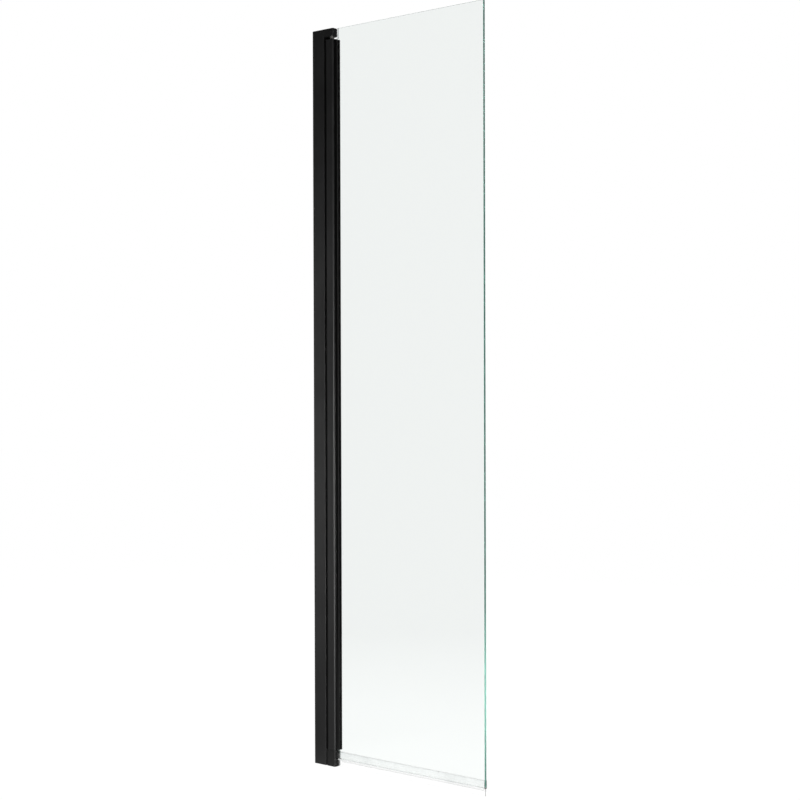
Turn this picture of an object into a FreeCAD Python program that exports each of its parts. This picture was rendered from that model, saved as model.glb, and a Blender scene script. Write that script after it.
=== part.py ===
import FreeCAD, Part

import math
import os

# Hinged bath screen: a glass panel that swings out from the bath on a wall channel.
# Millimetres. +Z up, +X from the wall along the glass, +Y to the bath side, -Y to the room.
# Origin: on the wall face, at the foot of the wall channel, on the glass's middle plane.

V = FreeCAD.Vector

# Overall sizes
screen_height = 1400.0       # foot to top of the black frame
screen_width = 400.0         # wall face to the free edge of the glass
frame_depth = 17.0           # across the black frame, room side to bath side

# Clearances
slide_gap = 0.3              # inner profile in the wall channel, each side
seat_gap = 0.4               # turning profile's round back in its seat
cam_gap = 0.4                # upright between the two cam ramps, and round the riser in its pocket
fit_gap = 0.05               # radial, for pins and plugs pushed into bores
running_gap = 0.06           # radial, for a bore that turns on a pin
glide_gap = 0.1              # each side of the square bush in its pocket
head_gap = 0.5               # between a turning end and the block it faces

# Wall channel
channel_width = 29.0         # wall face to the flange edges
channel_web = 2.0
channel_flange = 1.4
channel_edge_r = 0.7
web_rib = 1.2                # two ribs that keep screw heads off the flanges
web_rib_spacing = 9.6
wall_hole_r = 2.75
wall_hole_count = 4
wall_hole_spacing = 400.0

# Covers at the two ends
cover_thickness = 2.0
cover_edge = 0.6
cover_tab = 2.2             # thickness of the tab that pushes into the block
cover_tab_width = 6.0
cover_tab_length = 6.0

# Inner, adjusting profile
inner_start = 6.5            # from the wall face, at the middle of its travel
inner_wall = 1.5
port_outer_r = 3.3           # round ports that the block screws cut into
port_bore_r = 1.9
port_web = 1.4
port_first = 13.0            # from the wall face
port_spacing = 9.0

# Turning profile
groove_width = 4.5           # dark groove between the channel and the turning profile
face_width = 18.5            # flat room-side face, groove to step
knuckle_bore_r = 6.0
knuckle_wall = 1.6
front_corner_r = 3.0
lip_reach = 7.5              # from the step to the lips' edges
front_lip = 1.4
back_lip = 3.0               # thicker, the clamp screws are tapped in it
lip_edge_r = 0.6
channel_floor = 2.0          # glass channel's floor, behind the step
crescent_angle = 36.0        # half angle of the hollow behind the bore

# Hinge, along the pivot axis
pin_r = 4.0
pin_neck_r = 3.0
pin_bevel = 0.5
lift = 5.0                   # rise of the screen over its swing
swing = 90.0                 # degrees, out from the bath
top_block_height = 13.0
bottom_block_height = 28.0
plug_plate = 2.0
plug_depth = 27.5
plug_slot_gap = 0.2          # glass in the slot of an end plug's plate
pin_in_block = 8.0
pin_floor = 4.0              # block left under the bottom pin
pin_above_plate = 21.5
cam_outer_r = 6.5
cam_foot = 2.0               # least height of the fixed cam
cam_steps = 12               # facets in each half turn of ramp
cam_margin = 0.3             # of the ramps' blanks, past the ring on each side
cam_backlash = 4.5           # degrees between the cams' upright faces
lug_width = 2.4
lug_height = 1.8
bush_side = 11.0
bush_edge = 0.6
bush_floor = 1.5
bush_above_floor = 0.3
bush_shoulder_gap = 0.3
hinge_head_r = 3.0
top_back_r = 7.5             # the top head is rounder on the bath side

# Glass
glass_thickness = 5.0
glass_arris = 0.4
glass_foot = 15.0            # from the foot of the frame
glass_below_top = 1.0
glass_to_floor = 1.0         # glass edge to the glass channel's floor
notch_beyond_lip = 1.0       # notch edge short of the lips' edges

# Rubber, seal
gasket_side = 0.7
gasket_gap = 0.05
gasket_web = 0.85
seal_wall = 1.0
seal_grip = 14.0             # up the glass
seal_web = 1.1
seal_gap = 0.08
seal_from_pivot = 12.5
seal_fin = 1.1
seal_ground = 1.0            # fin's tip above the bath rim
seal_bulb_r = 1.1
drip_reach = 5.5
drip_drop = 6.0
drip_thickness = 0.9

# Screws
block_screw_r = 1.85
block_screw_length = 34.0
block_screw_clear_r = 2.1
block_screw_head_r = 2.7
block_screw_head = 1.8
adjuster_r = 1.7
adjuster_length = 5.0
adjuster_head_r = 3.4
adjuster_head = 2.2
adjuster_first = 150.0
adjuster_count = 3
clamp_r = 2.0
clamp_first = 120.0
clamp_count = 3
clamp_sunk = 0.2
socket_across = 2.0          # drive socket, across flats
socket_depth = 1.2

# Worked out from the sizes above
half_depth = frame_depth / 2.0
frame_foot = cover_thickness
frame_top = screen_height - cover_thickness
face_start = channel_width + groove_width
step_x = face_start + face_width
pivot_x = face_start + face_width / 2.0
knuckle_r = math.hypot(pivot_x - face_start, half_depth)
seat_r = knuckle_r + seat_gap
lip_end = step_x + lip_reach
inner_half = half_depth - channel_flange - slide_gap
bottom_block_top = frame_foot + bottom_block_height
top_block_foot = frame_top - top_block_height
turning_foot = bottom_block_top + head_gap + plug_plate
turning_top = top_block_foot - head_gap - lift - plug_plate
glass_half = glass_thickness / 2.0
slot_half = glass_half + gasket_side + 2.0 * gasket_gap
floor_x = step_x - channel_floor
glass_start = floor_x + glass_to_floor
glass_top = screen_height - glass_below_top
notch_x = lip_end - notch_beyond_lip
clamp_x = (step_x + lip_end) / 2.0
adjuster_x = port_first + port_spacing / 2.0
cam_pocket_foot = frame_foot + pin_floor + pin_in_block
cam_rise = lift * 180.0 / swing
cam_high = cam_pocket_foot + cam_foot + cam_rise
port_places = [port_first, port_first + port_spacing]


def in_plan(a, b):
    return V(a, b, 0)


def in_section(a, b):
    return V(0, a, b)


def outline(corners, place=in_plan):
    """Closed wire through (a, b, radius) corners, each rounded by a tangent arc."""
    points = [place(a, b) for a, b, _ in corners]
    trims = []
    for i, point in enumerate(points):
        radius = corners[i][2]
        back = (points[i - 1] - point).normalize()
        ahead = (points[(i + 1) % len(points)] - point).normalize()
        if radius > 0:
            half = back.getAngle(ahead) / 2.0
            run = radius / math.tan(half)
            inward = (back + ahead).normalize()
            middle = point + inward * (radius / math.sin(half) - radius)
            trims.append((point + back * run, middle, point + ahead * run))
        else:
            trims.append((point, None, point))
    edges = []
    for i, (start, middle, end) in enumerate(trims):
        if middle is not None:
            edges.append(Part.Arc(start, middle, end).toShape())
        following = trims[(i + 1) % len(trims)][0]
        if end.distanceToPoint(following) > 1e-6:
            edges.append(Part.LineSegment(end, following).toShape())
    return Part.Wire(edges)


def upright(corners, foot, top):
    """Solid of a plan outline between two heights."""
    face = Part.Face(outline(corners))
    face.translate(V(0, 0, foot))
    return face.extrude(V(0, 0, top - foot))


def lengthwise(corners, start, end):
    """Solid of a section outline run along the glass."""
    face = Part.Face(outline(corners, in_section))
    face.translate(V(start, 0, 0))
    return face.extrude(V(end - start, 0, 0))


def box(x0, x1, y0, y1, z0, z1):
    return Part.makeBox(x1 - x0, y1 - y0, z1 - z0, V(x0, y0, z0))


def rod(radius, foot, top, x=pivot_x, y=0.0):
    return Part.makeCylinder(radius, top - foot, V(x, y, foot))


def tube(inner_r, outer_r, foot, top):
    return rod(outer_r, foot, top).cut(rod(inner_r, foot, top))


def rectangle(x0, x1, half, left_r, right_r, back_r=None):
    """Corners of a plan rectangle; back_r is for the right corner on the bath side."""
    return [(x0, -half, left_r), (x1, -half, right_r),
            (x1, half, right_r if back_r is None else back_r), (x0, half, left_r)]


def spread(first, count):
    """Heights of count fasteners, even about the middle of the frame."""
    step = (screen_height - 2.0 * first) / (count - 1)
    return [first + step * i for i in range(count)]


def wall_hole_heights():
    middle = screen_height / 2.0
    half_count = (wall_hole_count - 1) / 2.0
    return [middle + wall_hole_spacing * (i - half_count) for i in range(wall_hole_count)]


def clean(shape):
    return shape.removeSplitter()


# ---- Wall side -------------------------------------------------------------------------

def wall_profile():
    """U channel: back web on the wall, two flanges, screw holes between two low ribs."""
    channel = upright(rectangle(0.0, channel_width, half_depth, channel_edge_r, channel_edge_r),
                      0.0, frame_top)
    inside = half_depth - channel_flange
    hollow = box(channel_web, channel_width + 1.0, -inside, inside, 0.0, frame_top)
    channel = channel.cut(hollow)
    for side in (-1.0, 1.0):
        middle = side * web_rib_spacing / 2.0
        rib = box(channel_web, channel_web + web_rib, middle - web_rib / 2.0, middle + web_rib / 2.0,
                  0.0, frame_top)
        channel = channel.fuse(rib)
    for height in wall_hole_heights():
        hole = Part.makeCylinder(wall_hole_r, channel_web + 2.0, V(-1.0, 0, height), V(1, 0, 0))
        channel = channel.cut(hole)
    for height in spread(adjuster_first, adjuster_count):
        hole = Part.makeCylinder(adjuster_r + fit_gap, channel_flange + 2.0,
                                 V(adjuster_x, inside - 1.0, height), V(0, 1, 0))
        channel = channel.cut(hole)
    return clean(channel)


def inner_profile():
    """Hollow sliding profile; its outer end is the round seat of the turning profile."""
    foot = bottom_block_top
    top = top_block_foot
    body = box(inner_start, face_start, -inner_half, inner_half, foot, top)
    body = body.cut(rod(seat_r, foot, top))
    hollow_half = inner_half - inner_wall
    hollow_end = pivot_x - seat_r - inner_wall
    hollow = box(inner_start + inner_wall, hollow_end, -hollow_half, hollow_half, foot, top)
    for place in port_places:
        web = box(place - port_web / 2.0, place + port_web / 2.0, -hollow_half, hollow_half, foot, top)
        hollow = hollow.cut(web)
        hollow = hollow.cut(rod(port_outer_r, foot, top, place))
    body = body.cut(hollow)
    for place in port_places:
        body = body.cut(rod(port_bore_r, foot, top, place))
    for height in spread(adjuster_first, adjuster_count):
        hole = Part.makeCylinder(adjuster_r + fit_gap, inner_wall + 1.0,
                                 V(adjuster_x, hollow_half - 0.5, height), V(0, 1, 0))
        body = body.cut(hole)
    return clean(body)


def cover_tab_box(foot, top, gap=0.0):
    """Tab of a cover, between the two block screws; with a gap, the slot that it fits."""
    half = cover_tab / 2.0 + gap
    half_width = cover_tab_width / 2.0 + gap
    return box(adjuster_x - half, adjuster_x + half, -half_width, half_width, foot, top)


def top_cover():
    """Plate over the channel and the hinge head, bevelled at its free rim, with a tab into the block."""
    plate = upright(rectangle(0.0, step_x, half_depth, channel_edge_r, hinge_head_r, top_back_r),
                    frame_top, screen_height)
    rim = [edge for edge in plate.Edges
           if all(abs(vertex.Point.z - screen_height) < 1e-6 for vertex in edge.Vertexes)
           and edge.CenterOfMass.x > channel_edge_r]
    plate = plate.makeChamfer(cover_edge, rim)
    return clean(plate.fuse(cover_tab_box(frame_top - cover_tab_length, frame_top)))


def bottom_cover():
    """Plate under the bottom block; in the channel it fits between the flanges."""
    plate = block_blank(0.0, frame_foot, face_start, hinge_head_r)
    return clean(plate.fuse(cover_tab_box(frame_foot, frame_foot + cover_tab_length)))


def block_blank(foot, top, head_start, back_r):
    """Part of a hinge block that plugs into the channel, with the head that shows."""
    tongue = box(inner_start, face_start + hinge_head_r, -inner_half, inner_half, foot, top)
    head = upright(rectangle(head_start, step_x, half_depth, 0.0, hinge_head_r, back_r), foot, top)
    return clean(tongue.fuse(head))


def block_holes(foot, top, mouth, inward):
    """Stepped screw holes and cover slot of a block; mouth is its outer face, inward points into the frame."""
    holes = []
    for place in port_places:
        holes.append(rod(block_screw_clear_r, foot, top, place))
        holes.append(Part.makeCylinder(block_screw_head_r + fit_gap, block_screw_head + fit_gap,
                                       V(place, 0, mouth), V(0, 0, inward)))
    slot_depth = cover_tab_length + head_gap
    slot_foot = min(mouth, mouth + inward * slot_depth)
    holes.append(cover_tab_box(slot_foot, slot_foot + slot_depth, fit_gap))
    return holes


def top_hinge_block():
    """Head over the turning profile, with the square pocket that the glide bush rises in."""
    block = block_blank(top_block_foot, frame_top, channel_width + slide_gap, top_back_r)
    pocket_half = bush_side / 2.0 + glide_gap
    pocket = box(pivot_x - pocket_half, pivot_x + pocket_half, -pocket_half, pocket_half,
                 top_block_foot + bush_floor, frame_top)
    block = block.cut(pocket)
    block = block.cut(rod(pin_r + seat_gap, top_block_foot, frame_top))
    for hole in block_holes(top_block_foot, frame_top, frame_top, -1.0):
        block = block.cut(hole)
    return clean(block)


def bottom_hinge_block():
    """Taller head under the turning profile: pin bore at the foot, cam pocket above it."""
    block = block_blank(frame_foot, bottom_block_top, face_start, hinge_head_r)
    block = block.cut(rod(pin_r + fit_gap, frame_foot + pin_floor, bottom_block_top))
    block = block.cut(rod(cam_outer_r + fit_gap, cam_pocket_foot, bottom_block_top))
    for hole in block_holes(frame_foot, bottom_block_top, frame_foot, 1.0):
        block = block.cut(hole)
    return clean(block)


def drive_socket(x, y, z, axis):
    """Hexagonal socket that a driver fits, sunk along axis from a screw's head."""
    reach = socket_across / math.sqrt(3.0)
    points = [V(reach * math.cos(math.radians(60.0 * i)), reach * math.sin(math.radians(60.0 * i)), 0)
              for i in range(6)]
    socket = Part.Face(Part.makePolygon(points + points[:1])).extrude(V(0, 0, socket_depth))
    socket.Placement = FreeCAD.Placement(V(x, y, z), FreeCAD.Rotation(V(0, 0, 1), axis))
    return socket


def block_screws(mouth, inward):
    """Two cheese head screws that hold a block on the end of the inner profile."""
    screws = []
    for place in port_places:
        start = V(place, 0, mouth)
        axis = V(0, 0, inward)
        shank = Part.makeCylinder(block_screw_r, block_screw_length, start, axis)
        head = Part.makeCylinder(block_screw_head_r, block_screw_head, start, axis)
        screws.append(clean(shank.fuse(head).cut(drive_socket(place, 0, mouth, axis))))
    return Part.makeCompound(screws)


def adjuster_screws():
    """Cheese head screws on the bath side that lock the inner profile in the channel."""
    screws = []
    for height in spread(adjuster_first, adjuster_count):
        seat = V(adjuster_x, half_depth, height)
        shank = Part.makeCylinder(adjuster_r, adjuster_length, seat, V(0, -1, 0))
        head = Part.makeCylinder(adjuster_head_r, adjuster_head, seat, V(0, 1, 0))
        socket = drive_socket(adjuster_x, half_depth + adjuster_head, height, V(0, -1, 0))
        screws.append(clean(shank.fuse(head).cut(socket)))
    return Part.makeCompound(screws)


# ---- Lift and pivot --------------------------------------------------------------------

def ramp_height(angle):
    """Height of the cam ramp: it falls with the angle, so the screen climbs as it swings out."""
    return cam_high - cam_rise * angle / 180.0


def ramp_half(start, first, last, low_at, high_at):
    """Flat sided solid round the pivot from one radial section to the next, over part of a half turn."""
    reach_in = pin_r - cam_margin
    reach_out = cam_outer_r + cam_margin
    sections = []
    for i in range(cam_steps + 1):
        angle = first + (last - first) * i / cam_steps
        turn = math.radians(start + angle)
        ray = V(math.cos(turn), math.sin(turn), 0)
        low = low_at(angle)
        high = high_at(angle)
        sections.append([V(pivot_x, 0, low) + ray * reach_in,
                         V(pivot_x, 0, low) + ray * reach_out,
                         V(pivot_x, 0, high) + ray * reach_out,
                         V(pivot_x, 0, high) + ray * reach_in])
    sides = [sections[0], sections[-1]]
    for near, far in zip(sections, sections[1:]):
        for i in range(4):
            j = (i + 1) % 4
            sides += [[near[i], near[j], far[j]], [near[i], far[j], far[i]]]
    faces = [Part.Face(Part.makePolygon(side + side[:1])) for side in sides]
    return Part.Solid(Part.Shell(faces))


def fixed_cam():
    """Helical double ramp, sunk in the bottom block round the pin."""
    ring = tube(pin_r + fit_gap, cam_outer_r, cam_pocket_foot, cam_high + 1.0)
    halves = [ramp_half(start, 0.0, 180.0, lambda angle: cam_pocket_foot - 1.0, ramp_height)
              for start in (0.0, 180.0)]
    return clean(ring.common(halves[0].fuse(halves[1])))


def riser_cam():
    """Mating ramp under the turning profile, with two lugs that the end plug drives."""
    seat = bottom_block_top + head_gap
    inner_r = pin_r + running_gap
    outer_r = cam_outer_r + fit_gap - cam_gap
    ring = tube(inner_r, outer_r, cam_pocket_foot, seat)
    halves = [ramp_half(start, 0.0, 180.0 - cam_backlash,
                        lambda angle: ramp_height(angle) + cam_gap, lambda angle: seat + 1.0)
              for start in (0.0, 180.0)]
    teeth = ring.common(halves[0].fuse(halves[1]))
    collar = tube(inner_r, outer_r, cam_high + cam_gap, seat)
    lugs = tube(inner_r, outer_r, seat, seat + lug_height)
    bar = box(pivot_x - cam_outer_r, pivot_x + cam_outer_r, -lug_width / 2.0, lug_width / 2.0,
              seat, seat + lug_height)
    return clean(teeth.fuse(collar).fuse(lugs.common(bar)))


def bottom_pin():
    """Steel pivot pin that stands in the bottom block."""
    foot = frame_foot + pin_floor
    pin = rod(pin_r, foot, turning_foot + pin_above_plate)
    tip = [edge for edge in pin.Edges if len(edge.Vertexes) == 1 and edge.CenterOfMass.z > foot + 1.0]
    return pin.makeChamfer(pin_bevel, tip)


def plug_outline(foot, top):
    """Plate that closes an end of the turning profile: round back, flat faces, slot for the glass."""
    flat = upright(rectangle(face_start, step_x, half_depth, 0.0, hinge_head_r), foot, top)
    slab = box(pivot_x - knuckle_r, pivot_x, -half_depth, half_depth, foot, top)
    slot_side = glass_half + plug_slot_gap
    slot = box(glass_start - plug_slot_gap, step_x + 1.0, -slot_side, slot_side, foot, top)
    return flat.fuse(rod(knuckle_r, foot, top).common(slab)).cut(slot)


def bottom_end_plug():
    """Plate and long bush at the foot of the turning profile; it runs on the bottom pin."""
    foot = turning_foot - plug_plate
    plug = plug_outline(foot, turning_foot)
    plug = plug.fuse(rod(knuckle_bore_r - fit_gap, turning_foot, turning_foot + plug_depth))
    plug = plug.cut(rod(pin_r + running_gap, foot, turning_foot + plug_depth))
    reach = cam_outer_r
    slot_half_width = lug_width / 2.0 + fit_gap
    slots = tube(pin_r, reach, foot, foot + lug_height + fit_gap)
    slots = slots.common(box(pivot_x - reach, pivot_x + reach, -slot_half_width, slot_half_width,
                             foot, foot + lug_height + fit_gap))
    return clean(plug.cut(slots))


def top_end_plug():
    """Plate and long spigot at the top of the turning profile; it holds the top pin."""
    top = turning_top + plug_plate
    plug = plug_outline(turning_top, top)
    plug = plug.fuse(rod(knuckle_bore_r - fit_gap, turning_top - plug_depth, turning_top))
    return clean(plug.cut(rod(pin_r + fit_gap, turning_top - plug_depth, top)))


def top_pin():
    """Steel pin with a shoulder that carries the glide bush up."""
    bush_foot = top_block_foot + bush_floor + bush_above_floor
    shoulder = bush_foot - bush_shoulder_gap
    pin = rod(pin_r, turning_top - plug_depth, shoulder)
    neck = rod(pin_neck_r, shoulder, frame_top - lift - head_gap)
    return clean(pin.fuse(neck))


def glide_bush():
    """Square bush that rises in the top block's pocket but can't turn in it."""
    foot = top_block_foot + bush_floor + bush_above_floor
    top = frame_top - lift - head_gap
    half = bush_side / 2.0
    bush = box(pivot_x - half, pivot_x + half, -half, half, foot, top)
    uprights = [edge for edge in bush.Edges
                if abs(edge.Vertexes[0].Point.z - edge.Vertexes[1].Point.z) > 1.0]
    bush = bush.makeChamfer(bush_edge, uprights)
    return clean(bush.cut(rod(pin_neck_r + running_gap, foot, top)))


# ---- Screen ----------------------------------------------------------------------------

def turning_profile():
    """Extrusion that carries the glass: round back, bored core, and a channel between two lips."""
    back_step = slot_half + back_lip
    back_corner_r = min(front_corner_r, half_depth - back_step - 0.1)
    section = [(face_start, -half_depth, 0.0),
               (step_x, -half_depth, front_corner_r),
               (step_x, -slot_half - front_lip, 0.0),
               (lip_end, -slot_half - front_lip, lip_edge_r),
               (lip_end, -slot_half, 0.0),
               (floor_x, -slot_half, 0.0),
               (floor_x, slot_half, 0.0),
               (lip_end, slot_half, 0.0),
               (lip_end, back_step, lip_edge_r),
               (step_x, back_step, 0.0),
               (step_x, half_depth, back_corner_r),
               (face_start, half_depth, 0.0)]
    profile = upright(section, turning_foot, turning_top)
    slab = box(pivot_x - knuckle_r, pivot_x - knuckle_bore_r, -half_depth, half_depth,
               turning_foot, turning_top)
    profile = profile.fuse(rod(knuckle_r, turning_foot, turning_top).common(slab))
    profile = profile.cut(rod(knuckle_bore_r, turning_foot, turning_top))
    profile = profile.cut(crescent(turning_foot, turning_top))
    for height in spread(clamp_first, clamp_count):
        hole = Part.makeCylinder(clamp_r + fit_gap, back_lip + 2.0,
                                 V(clamp_x, slot_half - 1.0, height), V(0, 1, 0))
        profile = profile.cut(hole)
    return clean(profile)


def crescent(foot, top):
    """Hollow between the bore's wall and the round back."""
    inner_r = knuckle_bore_r + knuckle_wall
    outer_r = knuckle_r - knuckle_wall
    ends = [V(pivot_x, 0, foot) + V(-radius * math.cos(math.radians(crescent_angle)),
                                    side * radius * math.sin(math.radians(crescent_angle)), 0)
            for radius, side in ((inner_r, -1), (inner_r, 1), (outer_r, 1), (outer_r, -1))]
    inner_arc = Part.Arc(ends[0], V(pivot_x - inner_r, 0, foot), ends[1]).toShape()
    outer_arc = Part.Arc(ends[2], V(pivot_x - outer_r, 0, foot), ends[3]).toShape()
    edges = [inner_arc, Part.LineSegment(ends[1], ends[2]).toShape(),
             outer_arc, Part.LineSegment(ends[3], ends[0]).toShape()]
    return Part.Face(Part.Wire(edges)).extrude(V(0, 0, top - foot))


def glass_panel():
    """Toughened pane with its two hinge-side corners notched round the hinge blocks."""
    notch_low = turning_foot - plug_plate
    notch_high = turning_top + plug_plate
    edge_points = [(notch_x, glass_foot), (screen_width, glass_foot), (screen_width, glass_top),
                   (notch_x, glass_top), (notch_x, notch_high), (glass_start, notch_high),
                   (glass_start, notch_low), (notch_x, notch_low)]
    points = [V(x, -glass_half, z) for x, z in edge_points]
    pane = Part.Face(Part.makePolygon(points + points[:1])).extrude(V(0, glass_thickness, 0))
    arrises = [edge for edge in pane.Edges
               if abs(edge.Vertexes[0].Point.y - edge.Vertexes[1].Point.y) < 1e-6]
    return pane.makeChamfer(glass_arris, arrises)


def glazing_gasket():
    """U of rubber pressed between the glass and the channel, proud of the lips by a hair."""
    outer = slot_half - gasket_gap
    inner = outer - gasket_side
    web_start = glass_start - gasket_gap - gasket_web
    web_end = glass_start - gasket_gap
    proud = lip_end + gasket_side
    section = [(web_start, -outer, 0.0), (proud, -outer, gasket_side / 3.0), (proud, -inner, 0.0),
               (web_end, -inner, 0.0), (web_end, inner, 0.0), (proud, inner, 0.0),
               (proud, outer, gasket_side / 3.0), (web_start, outer, 0.0)]
    return upright(section, turning_foot, turning_top)


def clamp_screws():
    """Set screws in the back lip, on the bath side."""
    screws = []
    for height in spread(clamp_first, clamp_count):
        outer = slot_half + back_lip - clamp_sunk
        screw = Part.makeCylinder(clamp_r, outer - slot_half, V(clamp_x, slot_half, height), V(0, 1, 0))
        screws.append(screw.cut(drive_socket(clamp_x, outer, height, V(0, -1, 0))))
    return Part.makeCompound(screws)


def drip_seal():
    """Clear strip pushed up over the glass, with a wiping fin down and a drip fin to the bath."""
    start = pivot_x + seal_from_pivot
    inner = glass_half + seal_gap
    outer = inner + seal_wall
    web_top = glass_foot - seal_gap
    web_foot = web_top - seal_web
    top = glass_foot + seal_grip
    half_fin = seal_fin / 2.0
    grip = lengthwise([(-outer, web_foot, 0.5), (outer, web_foot, 0.0), (outer, top, 0.3),
                       (inner, top, 0.0), (inner, web_top, 0.0), (-inner, web_top, 0.0),
                       (-inner, top, 0.0), (-outer, top, 0.3)], start, screen_width)
    fin = lengthwise([(-half_fin, seal_ground + seal_bulb_r, 0.0), (half_fin, seal_ground + seal_bulb_r, 0.0),
                      (half_fin, web_foot + 0.2, 0.0), (-half_fin, web_foot + 0.2, 0.0)],
                     start, screen_width)
    bulb = Part.makeCylinder(seal_bulb_r, screen_width - start,
                             V(start, 0, seal_ground + seal_bulb_r), V(1, 0, 0))
    drip = lengthwise([(outer - 0.1, web_foot, 0.0), (outer + drip_reach, web_foot - drip_drop, 0.3),
                       (outer + drip_reach + drip_thickness / 2.0, web_foot - drip_drop + drip_thickness, 0.3),
                       (outer - 0.1, web_foot + 1.5 * drip_thickness, 0.0)], start, screen_width)
    return clean(grip.fuse(fin).fuse(bulb).fuse(drip))


pieces = {
    "wall_profile": wall_profile(),
    "inner_profile": inner_profile(),
    "adjuster_screws": adjuster_screws(),
    "top_cover": top_cover(),
    "bottom_cover": bottom_cover(),
    "top_hinge_block": top_hinge_block(),
    "bottom_hinge_block": bottom_hinge_block(),
    "top_block_screws": block_screws(frame_top, -1.0),
    "bottom_block_screws": block_screws(frame_foot, 1.0),
    "bottom_pin": bottom_pin(),
    "fixed_cam": fixed_cam(),
    "glide_bush": glide_bush(),
    "glass_panel": glass_panel(),
    "turning_profile": turning_profile(),
    "glazing_gasket": glazing_gasket(),
    "clamp_screws": clamp_screws(),
    "top_end_plug": top_end_plug(),
    "top_pin": top_pin(),
    "bottom_end_plug": bottom_end_plug(),
    "riser_cam": riser_cam(),
    "drip_seal": drip_seal(),
}

os.makedirs("parts", exist_ok=True)
for name, shape in pieces.items():
    shape.exportStep(f"parts/{name}.step")
    bounds = shape.BoundBox
    print(f"{name:20s} solids {len(shape.Solids)} valid {shape.isValid()} volume {shape.Volume:10.1f}"
          f"  x {bounds.XMin:7.2f} {bounds.XMax:7.2f}  y {bounds.YMin:6.2f} {bounds.YMax:6.2f}"
          f"  z {bounds.ZMin:7.2f} {bounds.ZMax:7.2f}")
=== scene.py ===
"""Looks of a hinged bath screen: clear toughened glass in a black powder coated frame.

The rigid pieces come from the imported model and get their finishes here. The glass pane and the
clear seal under it are modelled again with the ground edges, dubbed corners and soft fins that
the plain solids leave out. Everything is in metres, +Z up, with the wall face at X = 0, the
screen along +X, the bath on the +Y side and the room on the -Y side.
"""

from __future__ import annotations

import logging
import math
from collections.abc import Callable, Sequence
from dataclasses import dataclass, field, replace
from enum import Enum, IntEnum

import bmesh
import bpy
from mathutils import Matrix, Vector

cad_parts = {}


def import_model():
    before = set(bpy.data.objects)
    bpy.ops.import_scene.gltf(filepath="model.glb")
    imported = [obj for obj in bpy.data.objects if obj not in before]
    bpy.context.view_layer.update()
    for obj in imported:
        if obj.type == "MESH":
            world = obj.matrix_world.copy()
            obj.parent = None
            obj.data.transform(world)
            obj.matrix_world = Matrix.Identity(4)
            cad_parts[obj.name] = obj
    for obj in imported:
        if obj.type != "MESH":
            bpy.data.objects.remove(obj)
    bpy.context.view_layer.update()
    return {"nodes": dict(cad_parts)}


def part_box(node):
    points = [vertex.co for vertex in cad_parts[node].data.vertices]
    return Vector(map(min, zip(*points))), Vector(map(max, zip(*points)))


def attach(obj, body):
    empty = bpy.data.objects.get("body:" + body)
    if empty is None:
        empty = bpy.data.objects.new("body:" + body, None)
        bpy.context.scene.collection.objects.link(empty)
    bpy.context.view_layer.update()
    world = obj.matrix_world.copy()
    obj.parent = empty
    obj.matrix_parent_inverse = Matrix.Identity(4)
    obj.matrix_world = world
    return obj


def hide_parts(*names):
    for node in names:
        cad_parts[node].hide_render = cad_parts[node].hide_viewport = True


LOG = logging.getLogger("bath_screen")
MM = 0.001

Colour = tuple[float, float, float]
Point = tuple[float, float, float]
Corner = tuple[float, float, float]
Span = tuple[float, float]


# ---- Node trees --------------------------------------------------------------------------


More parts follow.
